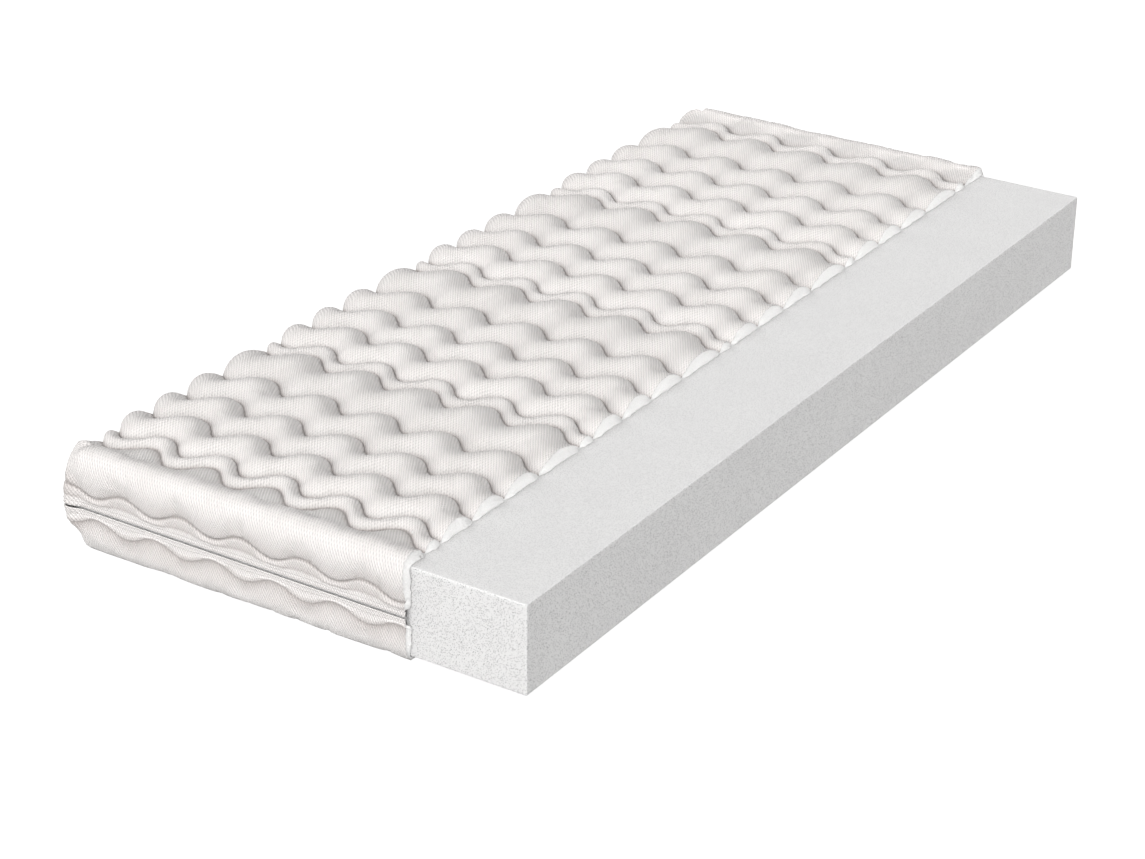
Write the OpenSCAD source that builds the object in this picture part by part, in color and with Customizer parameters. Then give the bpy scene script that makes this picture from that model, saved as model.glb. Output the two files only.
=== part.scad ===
// Pressure relief mattress, shown with its cover cut away along one long side.
// A foam core lies in a two-half quilted cover. Each half is a face fabric, a
// wadding and a backing, quilted together in wavy rows, and a concealed zip joins
// the halves all the way round. Millimetres, +X towards the bare foam, +Y towards
// the head end, +Z up, origin on the floor under the middle of the mattress.

/* [Mattress] */
// Width, from the cover's left face to the foam's bare right face
mattress_w = 890; // [790:10:1190]
// Length over the cover
mattress_l = 2000; // [1890:10:2110]
// Thickness of the foam core
foam_h = 155; // [140:5:200]
// Width of foam that the cut cover leaves bare
bare_w = 213; // [100:1:300]

/* [Cover] */
// Thickness of the quilt on the side walls
side_t = 10; // [10:0.5:14]
// Thickness of the quilt on the top, at the ridges
top_t = 18; // [14:1:24]
// Thickness of the quilt under the foam
bottom_t = 10; // [9:1:16]
// Thickness of the knitted face fabric
face_t = 2; // [1.6:0.1:2.4]
// Thickness of the backing fabric
backing_t = 1; // [0.6:0.1:1.4]
// Radius of the cover's vertical corners and of its bottom edges
edge_r = 20; // [14:1:22]
// Radius of the cover's top edges
top_r = 30; // [20:1:34]

/* [Quilting] */
// Length of one wave of a stitch line
wave_len = 124; // [110:1:140]
// Height of a wave above and below its line, on the top and bottom
wave_amp = 20; // [12:1:22]
// Height of a wave above and below its line, on the end walls
end_wave_amp = 8.5; // [5:0.5:10]
// Distance between the two lines of a double row
double_gap = 40; // [30:1:46]
// Distance from each end of the mattress to its first double row
end_margin = 92; // [90:1:120]
// Straight pieces that make up one wave
wave_steps = 6; // [6:1:12]

/* [Zip] */
// Height of the zip line above the floor
zip_z = 80; // [76:1:90]
// Half width of the band where the wadding stops short of the zip
band_h = 14; // [13:0.5:16]
// Half width of the slit between the two fabric lips
slit = 1.5; // [1.4:0.1:1.8]
// Place of the parked slider along the left wall
slider_y = 880; // [820:5:880]
// Length of the slider body
slider_l = 13; // [11:0.5:15]
// Length of the pull tab beyond its hinge
pull_l = 26; // [20:1:32]

/* [Hidden] */
$fn = 48;

// Faces of the mattress
left_x = -mattress_w / 2;
right_x = mattress_w / 2;
cut_x = right_x - bare_w;
back_y = mattress_l / 2;
foam_z = bottom_t;
top_z = bottom_t + foam_h + top_t;
past = 60;                      // how far a cutting shape runs past what it cuts

// Depths below the cover's outer face, from outside to inside
core_gap = 0.3;
backing_out = side_t - core_gap - backing_t;
backing_in = side_t - core_gap;
lip_out = 3;
lip_in = 4;
hem_in = 5.5;
tape_in = 6.1;
coil_in = 8.1;

// Heights measured from the zip line
lip_h = band_h - 2;
hem_h = 8;
tape_h = 1;
coil_h0 = 0.8;
coil_h1 = 3;
hem_stitch_h = 10;
lip_stitch_h = 4;

// Quilting
double_places = [-1, -0.529, -0.035, 0.475, 0.989];  // the double rows, as shares of the way to the first one
single_places = [0.244, 0.447, 0.672];  // the single rows, as shares of the way between two double rows
crest_x = 32;                   // a crest of every wave on the top and bottom, at the middle
crest_lean = 10;                // how far the crests drift sideways over half the length
wave_step = wave_len / wave_steps;
corner_steps = 5;               // flats that make up a quarter turn of the soft corners
double_y = double_places * (back_y - end_margin);
row_y = [
    for (i = [0 : len(double_y) - 1]) each concat(
        [double_y[i] - double_gap / 2, double_y[i] + double_gap / 2],
        i < len(double_y) - 1 ? [for (share = single_places) double_y[i] + share * (double_y[i + 1] - double_y[i])] : []
    )
];
end_line_h = 33.5;              // height of the end walls' upper line above the zip
end_line_drop = 23.5;           // depth of the end walls' lower line below the zip
groove_w = 8;
groove_depth = 1.2;
thread_w = 1;
thread_t = 0.8;

// Zip slider and pull, as depths and heights again
plate_out = [4.3, 5.2];
plate_in = [8.4, 9.4];
slider_h = 4.5;
flange_h = 3.3;
flange_out = 6.4;
bridge_out = 0.1;
bridge_h = 1.1;
bridge_l = 9;
eye_l = 5;
eye = [1, 2.9];
pull_depth = 1.95;
pull_t = 1.2;
pull_h = 3.2;
pull_eye_h = 1.5;
pull_eye_l = 5.6;
chain_gap_y = [slider_y - slider_l / 2 - 3, slider_y + 56];
stop_l = 3;

// ---- outlines ----

// Points of a quarter turn about a centre, starting at an angle
function quarter(x, y, r, start) = [
    for (i = [0 : corner_steps]) let (a = start + 90 * i / corner_steps) [x + r * cos(a), y + r * sin(a)]
];

// Rectangle with its own radius at the low and at the high corners
module soft_outline(x0, y0, x1, y1, low_r, high_r) {
    polygon(concat(
        quarter(x1 - low_r, y0 + low_r, low_r, 270),
        quarter(x1 - high_r, y1 - high_r, high_r, 0),
        quarter(x0 + high_r, y1 - high_r, high_r, 90),
        quarter(x0 + low_r, y0 + low_r, low_r, 180)
    ));
}

// Plan of the cover at a depth below its outer face, open at the cut
module plan(depth) {
    r = edge_r - depth;
    intersection() {
        soft_outline(left_x + depth, depth - back_y, cut_x + past, back_y - depth, r, r);
        translate([left_x - past, -back_y - past]) square([cut_x - left_x + past, mattress_l + 2 * past]);
    }
}

// Rounded block of the cover at a depth below its outer face
module soft_block(depth) {
    low_r = edge_r - depth;
    high_r = top_r - depth;
    high_z = top_z - depth;
    intersection() {
        translate([0, 0, depth]) linear_extrude(high_z - depth) plan(depth);
        translate([left_x + depth, 0, 0]) rotate([90, 0, 90]) linear_extrude(cut_x - left_x - depth)
            soft_outline(depth - back_y, depth, back_y - depth, high_z, low_r, high_r);
        translate([0, back_y - depth, 0]) rotate([90, 0, 0]) linear_extrude(mattress_l - 2 * depth)
            soft_outline(left_x + depth, depth, cut_x + past, high_z, low_r, high_r);
    }
}

// Square-cornered block round the foam, at a side depth and a gap over and under
module square_block(depth, gap) {
    translate([left_x + depth, depth - back_y, foam_z - gap])
        cube([cut_x - left_x - depth, mattress_l - 2 * depth, foam_h + 2 * gap]);
}

// Everything of the cover between two heights
module slab(z0, z1) {
    translate([left_x - past, -back_y - past, z0]) cube([mattress_w + 2 * past, mattress_l + 2 * past, z1 - z0]);
}

// U-shaped band that follows the cover's walls, between two depths and two heights
module wall_band(depth0, depth1, z0, z1) {
    translate([0, 0, z0]) linear_extrude(z1 - z0) difference() {
        plan(depth0);
        plan(depth1);
    }
}

// The same band placed by its heights from the zip line; side is 1 above it and -1 below
module zip_band(side, depth0, depth1, h0, h1) {
    z0 = zip_z + (side > 0 ? h0 : -h1);
    wall_band(depth0, depth1, z0, z0 + h1 - h0);
}

// ---- quilting ----

function wave(x, length, amp, crest) = amp * cos(360 * (x - crest) / length);

// Ribbon of a width that follows a wave about a line, from x0 to x1
module wave_ribbon(x0, x1, line, width, length, amp, crest) {
    steps = ceil((x1 - x0) / wave_step);
    xs = [for (i = [0 : steps]) x0 + (x1 - x0) * i / steps];
    low = [for (x = xs) [x, line + wave(x, length, amp, crest) - width / 2]];
    high = [for (i = [steps : -1 : 0]) [xs[i], line + wave(xs[i], length, amp, crest) + width / 2]];
    polygon(concat(low, high));
}

// Every row of quilting on the top (side 1) or bottom (side -1), as bars of one width and depth range
module flat_rows(side, width, depth0, depth1) {
    r = side > 0 ? top_r : edge_r;
    z0 = side > 0 ? top_z - depth1 : depth0;
    for (y = row_y) translate([0, 0, z0]) linear_extrude(depth1 - depth0)
        wave_ribbon(left_x + r, cut_x, y, width, wave_len, wave_amp, crest_x - crest_lean * y / back_y);
}

// The wavy line on both end walls, above or below the zip
module end_rows(side, width, depth0, depth1) {
    line = zip_z + (side > 0 ? end_line_h : -end_line_drop);
    crest = side > 0 ? -82 : -20;
    x0 = left_x + edge_r;
    for (y = [depth1 - back_y, back_y - depth0]) translate([0, y, 0]) rotate([90, 0, 0])
        linear_extrude(depth1 - depth0) wave_ribbon(x0, cut_x, line, width, wave_len * 0.97, end_wave_amp, crest);
}

// Seam down each left corner of a half, as a strip let into the face fabric
module corner_strips(side) {
    rim_z = side > 0 ? top_z - top_r : edge_r;
    end_z = zip_z + side * (band_h + 2);
    for (end = [-1, 1])
        translate([left_x + edge_r, end * (back_y - edge_r), min(rim_z, end_z)])
            rotate([0, 0, end > 0 ? 135 : 225])
                translate([edge_r - thread_t, -thread_w / 2, 0])
                    cube([thread_t + 0.2, thread_w, abs(rim_z - end_z)]);
}

// ---- one half of the cover ----

// Side 1 is everything above the zip band, side -1 everything below it
module half_space(side, h) {
    if (side > 0) slab(zip_z + h, top_z + past);
    else slab(-past, zip_z - h);
}

module face_fabric(side) {
    color([0.93, 0.92, 0.91]) difference() {
        union() {
            intersection() {
                difference() {
                    soft_block(0);
                    soft_block(face_t);
                }
                half_space(side, lip_h);
            }
            zip_band(side, 0, hem_in, lip_h, band_h);
            zip_band(side, lip_out, lip_in, slit, lip_h);
            zip_band(side, lip_in, hem_in, hem_h, lip_h);
        }
        flat_rows(side, groove_w, -1, groove_depth);
        end_rows(side, groove_w, -1, groove_depth);
        corner_strips(side);
    }
}

module wadding(side) {
    color([0.97, 0.97, 0.95]) intersection() {
        difference() {
            soft_block(face_t);
            square_block(backing_out, core_gap + backing_t);
        }
        half_space(side, band_h);
    }
}

module backing(side) {
    color([0.88, 0.88, 0.86]) intersection() {
        difference() {
            square_block(backing_out, core_gap + backing_t);
            square_block(backing_in, core_gap);
        }
        half_space(side, band_h);
    }
}

module quilt_threads(side) {
    color([0.82, 0.8, 0.79]) flat_rows(side, thread_w, groove_depth - thread_t, groove_depth);
}

module end_threads(side) {
    color([0.82, 0.8, 0.79]) end_rows(side, thread_w, groove_depth - thread_t, groove_depth);
}

module corner_seams(side) {
    color([0.86, 0.84, 0.83]) corner_strips(side);
}

module zip_tape(side) {
    color([0.86, 0.86, 0.86]) zip_band(side, hem_in, tape_in, tape_h, band_h);
}

module zip_coil(side) {
    color([0.8, 0.8, 0.8]) difference() {
        zip_band(side, tape_in, coil_in, coil_h0, coil_h1);
        coil_end = side > 0 ? slider_y + slider_l / 2 + 2 : chain_gap_y[0];
        translate([left_x - past, coil_end, 0]) cube([2 * past, chain_gap_y[1] - coil_end, top_z]);
    }
}

module zip_stitching(side) {
    color([0.7, 0.69, 0.69]) {
        zip_band(side, lip_out - 0.4, lip_out, lip_stitch_h, lip_stitch_h + 0.8);
        zip_band(side, lip_out - 0.4, lip_out, hem_stitch_h, hem_stitch_h + 0.8);
    }
}

// Metal stops clamped over the tape's edge at the two ends of the chain
module zip_stops(side) {
    h0 = side > 0 ? tape_h : -coil_h1;
    color([0.75, 0.76, 0.78]) for (y = [slider_y + slider_l / 2 + 3, chain_gap_y[1] - stop_l])
        difference() {
            translate([left_x + hem_in - 0.7, y, zip_z + h0]) cube([2.3, stop_l, coil_h1 - tape_h]);
            translate([left_x + hem_in, y - 1, zip_z + h0 - 1]) cube([tape_in - hem_in, stop_l + 2, 4]);
        }
}

// ---- core and slider ----

// Plan of the foam: square at the bare side, its two covered corners eased as the zip presses them
module foam_plan() {
    r = edge_r - side_t;
    x0 = left_x + side_t;
    y1 = back_y - side_t;
    polygon(concat(
        [[right_x, -y1], [right_x, y1]],
        quarter(x0 + r, y1 - r, r, 90),
        quarter(x0 + r, r - y1, r, 180)
    ));
}

module foam_core() {
    color([0.84, 0.84, 0.86]) translate([0, 0, foam_z]) linear_extrude(foam_h) foam_plan();
}

// Block of the slider between two depths, two places along it and two heights
module slider_block(depths, y0, y1, h0, h1) {
    translate([left_x + depths[0], slider_y + y0, zip_z + h0]) cube([depths[1] - depths[0], y1 - y0, h1 - h0]);
}

module zip_slider_body() {
    half_l = slider_l / 2;
    color([0.72, 0.73, 0.75]) {
        slider_block(plate_out, -half_l, half_l, -slider_h, slider_h);
        slider_block(plate_in, -half_l, half_l, -slider_h, slider_h);
        slider_block([plate_out[1], plate_in[0]], half_l - 5, half_l - 1, -tape_h / 2, tape_h / 2);
        slider_block([flange_out, plate_in[0]], -half_l, half_l, flange_h, slider_h);
        slider_block([flange_out, plate_in[0]], -half_l, half_l, -slider_h, -flange_h);
        difference() {
            slider_block([bridge_out, plate_out[0]], -bridge_l / 2, bridge_l / 2, -bridge_h, bridge_h);
            slider_block(eye, -eye_l / 2, eye_l / 2, -past, past);
        }
    }
}

module zip_pull() {
    color([0.72, 0.73, 0.75]) translate([left_x + pull_depth, slider_y, zip_z]) {
        cylinder(h = 2 * pull_h, d = pull_t, center = true);
        rotate([0, 90, 0]) linear_extrude(pull_t, center = true) difference() {
            union() {
                translate([-pull_h, 0]) square([2 * pull_h, pull_l - pull_h]);
                translate([0, pull_l - pull_h]) circle(pull_h);
            }
            translate([-pull_eye_h, -past]) square([2 * pull_eye_h, past + pull_eye_l]);
            translate([0, pull_l - pull_h]) circle(1.4);
        }
    }
}

module lower_face_fabric() face_fabric(-1);
module lower_wadding() wadding(-1);
module lower_backing() backing(-1);
module lower_quilt_threads() quilt_threads(-1);
module lower_end_threads() end_threads(-1);
module lower_corner_seams() corner_seams(-1);
module lower_zip_tape() zip_tape(-1);
module lower_zip_coil() zip_coil(-1);
module lower_zip_stitching() zip_stitching(-1);
module lower_zip_stops() zip_stops(-1);
module upper_face_fabric() face_fabric(1);
module upper_wadding() wadding(1);
module upper_backing() backing(1);
module upper_quilt_threads() quilt_threads(1);
module upper_end_threads() end_threads(1);
module upper_corner_seams() corner_seams(1);
module upper_zip_tape() zip_tape(1);
module upper_zip_coil() zip_coil(1);
module upper_zip_stitching() zip_stitching(1);
module upper_zip_stops() zip_stops(1);

foam_core();
lower_face_fabric();
lower_wadding();
lower_backing();
lower_quilt_threads();
lower_end_threads();
lower_corner_seams();
lower_zip_tape();
lower_zip_coil();
lower_zip_stitching();
lower_zip_stops();
upper_face_fabric();
upper_wadding();
upper_backing();
upper_quilt_threads();
upper_end_threads();
upper_corner_seams();
upper_zip_tape();
upper_zip_coil();
upper_zip_stitching();
upper_zip_stops();
zip_slider_body();
zip_pull();
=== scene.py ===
"""Visual model of the pressure relief mattress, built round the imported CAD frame. Metres."""
import math

import bmesh
import bpy
import numpy as np
from mathutils import Matrix, Vector


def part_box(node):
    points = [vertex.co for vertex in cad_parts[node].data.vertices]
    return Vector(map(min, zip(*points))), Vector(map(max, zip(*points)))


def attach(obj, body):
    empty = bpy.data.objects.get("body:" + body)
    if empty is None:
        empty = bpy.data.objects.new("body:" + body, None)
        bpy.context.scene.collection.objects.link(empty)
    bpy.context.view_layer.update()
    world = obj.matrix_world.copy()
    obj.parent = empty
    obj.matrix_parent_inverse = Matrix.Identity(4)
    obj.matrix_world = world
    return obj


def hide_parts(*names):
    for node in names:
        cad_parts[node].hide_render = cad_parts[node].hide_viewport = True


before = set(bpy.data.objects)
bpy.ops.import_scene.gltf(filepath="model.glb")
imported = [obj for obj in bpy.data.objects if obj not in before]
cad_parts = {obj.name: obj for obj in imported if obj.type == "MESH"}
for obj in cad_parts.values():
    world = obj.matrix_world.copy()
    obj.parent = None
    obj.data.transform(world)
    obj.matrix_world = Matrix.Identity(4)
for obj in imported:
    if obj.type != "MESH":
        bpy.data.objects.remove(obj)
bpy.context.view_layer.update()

MM = 0.001

# ---- places, from the CAD frame ----
FOAM_LO, FOAM_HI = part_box("foam_core")
UPPER_LO, UPPER_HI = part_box("upper_face_fabric")
LOWER_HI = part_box("lower_face_fabric")[1]
TAPE_LO, TAPE_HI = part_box("upper_zip_tape")
COIL_LO, COIL_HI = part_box("upper_zip_coil")
SLIDER_LO, SLIDER_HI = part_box("zip_slider_body")
STOPS_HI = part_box("upper_zip_stops")[1]
CUT_X = UPPER_HI.x
LEFT_X = UPPER_LO.x
END_Y = UPPER_HI.y
ZIP_Z = (UPPER_LO.z + LOWER_HI.z) / 2
SLIT = (UPPER_LO.z - LOWER_HI.z) / 2
SIDE_T = FOAM_LO.x - LEFT_X

# ---- the quilt's shape ----
FACE_T = 0.75 * MM              # thickness of the face fabric
BACKING_T = 0.6 * MM
FOAM_GAP = 0.35 * MM
WALL_DEPTH = 2.0 * MM           # how far the stitch lines on the walls lie inside the cover's outer face
VALLEY_T = 3.4 * MM             # thickness of the quilt at a stitch line
ROLL_OUT = 34.0 * MM            # size of the rounded edge, across
ROLL_DOWN = 36 * MM             # and down
PUFF = {1: 22 * MM, -1: 14 * MM}  # height of a full ridge over its stitch lines, above and underneath
END_RISE = {1: 0.55, -1: 1}     # how steeply the ridge round an end starts, as a share of the others
FULL_CELL = 86 * MM             # distance between two stitch lines that gives a full ridge
RIDGE_POWER = 0.95              # roundness of a ridge, where 1 is a parabola and less is squarer
WAVE_LEN = 124 * MM
WAVE_AMP = 20 * MM
CREST_X = 32 * MM               # a crest of every wave, at the middle of the mattress
CREST_LEAN = 10 * MM            # how far the crests lean over half the mattress's length
END_WAVE_AMP = 8.5 * MM
END_WAVE_LEN = 120.3 * MM
END_CREST_X = {1: -82 * MM, -1: -20 * MM}
END_LINE_H = {1: 33.5 * MM, -1: 23.5 * MM}
DOUBLE_Y = np.array([-908, -480, -32, 431, 898]) * MM    # middles of the double rows
DOUBLE_GAP = 40 * MM
SINGLE_ROWS = np.array([0.244, 0.447, 0.672])            # single rows between two double rows
FLOOR_GAP = 0.3 * MM
FLUFF_OUT = 8 * MM              # how far the wadding bulges out of the cut
BARE_EDGE_R = 2.5 * MM          # radius of the bare foam's edges

# ---- the zip ----
BAND_H = 14 * MM                # half width of the band with no wadding
LIP_OUT = 2.2 * MM              # how far the lips stand out of the stitch lines on an end wall
LEFT_LIP_OUT = -0.7 * MM        # and on the left wall, under the pull
CORNER_OUT = 11 * MM            # how far the lips push the cover's corners out
CORNER_TUCK = 7 * MM            # how far the lower half's corners draw in below the lips
CORNER_POWER = 4.5              # squareness of the cover's vertical corners, where 2 is round
LIPS_APART = 0.8 * MM           # how much wider than the slit each lip is pulled open
LIP_STITCHES = (4 * MM, 10 * MM)
TAPE_DEPTH = 5.5 * MM
TAPE_T = 0.6 * MM
COIL_DEPTH = 7.1 * MM
COIL_PITCH = 1.8 * MM
COIL_GAP = {1: (SLIDER_HI.y + 2 * MM, STOPS_HI.y), -1: (SLIDER_LO.y - 3 * MM, STOPS_HI.y)}

# ---- cloth simulation ----
SETTLE_STEPS = 10
SETTLE_MOST = 2.0 * MM          # the most that a point may move

# ---- thread: pitch, length of a stitch, radius and rise over the fabric ----
QUILT_STITCH = (4.2 * MM, 3.6 * MM, 0.45 * MM, 0.1 * MM)
SEAM_STITCH = (3.6 * MM, 3.0 * MM, 0.38 * MM, 0.1 * MM)
LIP_STITCH = (3.4 * MM, 2.4 * MM, 0.65 * MM, 0.15 * MM)

INSET = WALL_DEPTH + ROLL_OUT
ROLL_X = LEFT_X + INSET
ROLL_Y = END_Y - INSET
ROLL_U = CUT_X - ROLL_X
SIDE_OUT = INSET - SIDE_T       # from the start of the rounded edge to the foam's side
SCATTER = np.random.default_rng(20)


def line_places():
    """Every stitch line's place along the mattress."""
    lines = []
    for row, middle in enumerate(DOUBLE_Y):
        lines += [middle - DOUBLE_GAP / 2, middle + DOUBLE_GAP / 2]
        if row < len(DOUBLE_Y) - 1:
            lines += list(middle + SINGLE_ROWS * (DOUBLE_Y[row + 1] - middle))
    return np.array(lines)


LINES = line_places()


def smooth(x):
    """Smooth step from 0 to 1."""
    x = np.clip(x, 0, 1)
    return x * x * (3 - 2 * x)


def cluster(start, end, count):
    """Samples from start up to but not including end, closer together at both ends."""
    turn = np.arange(count) / count * math.pi
    return start + (end - start) * (1 - np.cos(turn)) / 2


def ripple(place, seed, shortest, longest):
    """Smooth irregular wave along a place, from about -1 to 1, the same on every run."""
    total = np.zeros_like(place)
    for k in range(5):
        length = shortest * (longest / shortest) ** (k / 4)
        phase = 12.9898 * seed + 78.233 * k
        total += np.sin(place * 2 * math.pi / length + phase + np.sin(phase) * 3)
    return total / 3


def foam_radius(x):
    """Radius of the foam's edges: sharp where it is bare, rounded deep under the cover."""
    covered = smooth((CUT_X - 30 * MM - x) / (220 * MM))
    return BARE_EDGE_R + (SIDE_OUT - BARE_EDGE_R) * covered


def corner_way(turn, power):
    """Way out to a rounded corner's outline at a turn: across and along, then its normal."""
    across, along = np.sin(turn), np.cos(turn)
    reach = (across ** power + along ** power) ** (-1 / power)
    normal = np.stack([across ** (power - 1), along ** (power - 1)])
    normal = normal / np.hypot(*normal)
    return across * reach, along * reach, normal[0], normal[1]


class Half:
    """The samples and surfaces of one half of the cover. side is 1 above the zip and -1 below."""

    def __init__(self, side, flat_step=6 * MM, inner=False):
        self.side = side
        foam_face = FOAM_HI.z if side > 0 else FOAM_LO.z
        self.valley_z = foam_face + side * VALLEY_T
        self.wall_h = side * (self.valley_z - ZIP_Z) - ROLL_DOWN - SLIT - LIPS_APART
        self.body = "upper_cover" if side > 0 else "lower_cover"
        self.name = "upper" if side > 0 else "lower"
        self.make_profile()
        self.make_rows()
        self.make_columns(flat_step, inner)

    def make_profile(self):
        """Table of the rounded edge, the wall and the hem: arc length, distance out, distance down."""
        turn = np.linspace(0, math.pi / 2, 41)
        out = ROLL_OUT * np.sin(turn)
        down = ROLL_DOWN * (1 - np.cos(turn))
        arc = np.concatenate([[0], np.cumsum(np.hypot(np.diff(out), np.diff(down)))])
        self.roll_w = arc[-1]
        self.lip_w = self.roll_w + self.wall_h
        self.line_w = self.lip_w + SLIT - END_LINE_H[self.side]
        # the hem turns in at the lip and lies back against the lip's inner side
        hem_in = np.array([0.12, 0.75, 1.38, 1.5, 1.5, 1.5, 1.5]) * MM
        hem_down = np.array([0.1, 0.2, 0.1, -0.5, -2.5, -5, -8]) * MM
        hem_steps = np.hypot(np.diff(hem_in, prepend=0), np.diff(hem_down, prepend=0))
        self.hem_w = self.lip_w + np.cumsum(hem_steps)
        lip_down = ROLL_DOWN + self.wall_h
        self.table_w = np.concatenate([arc, [self.lip_w], self.hem_w])
        self.table_out = np.concatenate([out, [ROLL_OUT], ROLL_OUT - hem_in])
        self.table_down = np.concatenate([down, [lip_down], lip_down + hem_down])

    def make_rows(self):
        """Rows of vertices along the mattress, close together at every stitch line."""
        places, line, share, cell = [], [], [], []
        self.to_end = {-1: LINES[0] + ROLL_Y, 1: ROLL_Y - LINES[-1]}
        self.end_cell = {end: self.to_end[end] + self.line_w for end in (-1, 1)}
        for v in cluster(-ROLL_Y, LINES[0] + self.to_end[-1], 16)[:8]:
            places.append(v)
            line.append(-1)
            share.append((LINES[0] - v) / self.end_cell[-1])
            cell.append(self.end_cell[-1])
        for k in range(len(LINES) - 1):
            width = LINES[k + 1] - LINES[k]
            for v in cluster(LINES[k], LINES[k + 1], max(12, round(width / (6 * MM)))):
                places.append(v)
                line.append(k)
                share.append((v - LINES[k]) / width)
                cell.append(width)
        to_roll = cluster(ROLL_Y, LINES[-1] - self.to_end[1], 16)[:8]
        for v in np.concatenate([[LINES[-1]], to_roll[::-1]]):
            places.append(v)
            line.append(len(LINES) - 1)
            share.append((v - LINES[-1]) / self.end_cell[1])
            cell.append(self.end_cell[1])
        self.v = np.array(places)
        self.line = np.array(line)
        self.share = np.array(share)
        self.cell = np.array(cell)
        edge = np.minimum((ROLL_Y + self.v) / self.to_end[-1], (ROLL_Y - self.v) / self.to_end[1])
        self.amp = WAVE_AMP * smooth(edge)
        self.end_blend = np.clip(1 - edge, 0, 1)

    def make_columns(self, flat_step, inner):
        """Columns of vertices across the mattress: the flat, the rounded edge, the wall and the hem."""
        near_cut = [0, 1.5 * MM, 4 * MM]
        self.flat_u = np.concatenate([near_cut, np.arange(8 * MM, ROLL_U - 0.6 * flat_step, flat_step)])
        roll = np.interp(np.linspace(0, 1, 10), np.linspace(0, 1, 41), self.table_w[:41])
        to_line = cluster(self.roll_w, self.line_w, 6)[1:]
        to_lip = np.linspace(self.line_w, self.lip_w, 9)
        sewn = self.lip_w + SLIT - np.array(LIP_STITCHES)
        wall = np.unique(np.concatenate([to_line, to_lip, sewn]))
        if inner:
            end_w = self.lip_w + SLIT - BAND_H
            wall = np.append(wall[wall < end_w - 1 * MM], end_w)
            self.edge_w = np.concatenate([roll, wall])
        else:
            self.edge_w = np.concatenate([roll, wall, self.hem_w])
        self.u = np.concatenate([self.flat_u, ROLL_U + self.edge_w])
        turns = np.linspace(0, math.pi / 2, 13)[1:]
        self.p = np.concatenate([self.flat_u, [ROLL_U], ROLL_U + ROLL_OUT * turns])
        self.turn = np.concatenate([np.zeros(len(self.flat_u) + 1), turns])

    def edge_point(self, w, lip):
        """Distance out and down, and the surface's normal, at an arc length round the edge."""
        out = np.interp(w, self.table_w, self.table_out)
        down = np.interp(w, self.table_w, self.table_down)
        step = 0.3 * MM
        d_out, d_down = (
            np.interp(w + step, self.table_w, table) - np.interp(w - step, self.table_w, table)
            for table in (self.table_out, self.table_down)
        )
        flat = w <= step
        d_out = np.where(flat, 1, d_out)
        d_down = np.where(flat, 0, d_down)
        size = np.maximum(np.hypot(d_out, d_down), 1e-9)
        out = out + lip * smooth((w - self.line_w) / (self.lip_w - self.line_w))
        return out, down, d_down / size, d_out / size

    def inner_point(self, w, radius, gap):
        """Distance out and down of a surface that wraps the foam at a gap, at the outer side's arc length."""
        r = radius + gap
        side_out = SIDE_OUT + gap
        top_down = VALLEY_T - gap
        straight = side_out - r
        drop = ROLL_DOWN + self.wall_h - top_down
        along = np.clip(w / self.lip_w, 0, 1) * (straight + r * math.pi / 2 + drop - r)
        angle = np.clip((along - straight) / r, 0, math.pi / 2)
        out = np.minimum(along, straight) + r * np.sin(angle)
        down = top_down + r * (1 - np.cos(angle)) + np.clip(along - straight - r * math.pi / 2, 0, None)
        return out, down

    def ridge(self, share, cell, slope, is_end):
        """Height of a ridge at a share of the way from one stitch line to the next."""
        power = np.where(is_end, RIDGE_POWER - 0.45 * smooth((share - 0.5) / 0.4), RIDGE_POWER)
        arch = np.clip(1 - np.abs(2 * share - 1) ** 2, 0, 1) ** power
        full = PUFF[self.side] * np.clip(cell / FULL_CELL, 0, 1) ** 0.75
        low = END_RISE[self.side]
        rounding = (low + (1 - low) * smooth((share - 0.25) / 0.3)) * (1 - 0.72 * smooth((share - 0.4) / 0.5))
        full = full * np.where(is_end, rounding, 1)
        return full * (0.84 + 0.16 * np.cos(np.arctan(slope))) * arch

    def relief(self, share, cell, slope, along, seed, is_end):
        """Ridge height with the small puckers that the stitches draw into the fabric."""
        height = self.ridge(share, cell, slope, is_end)
        nearest = np.minimum(share, 1 - share) * cell
        pucker = ripple(along, seed, 7 * MM, 31 * MM)
        pucker = pucker * np.exp(-nearest / (9 * MM)) * smooth(nearest / (5 * MM))
        swell = 1 + 0.045 * ripple(along, seed + 41, 90 * MM, 300 * MM)
        inside = (share >= 0) & (share <= 1)
        return np.where(inside, height * swell + 0.55 * MM * pucker, 0)

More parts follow.
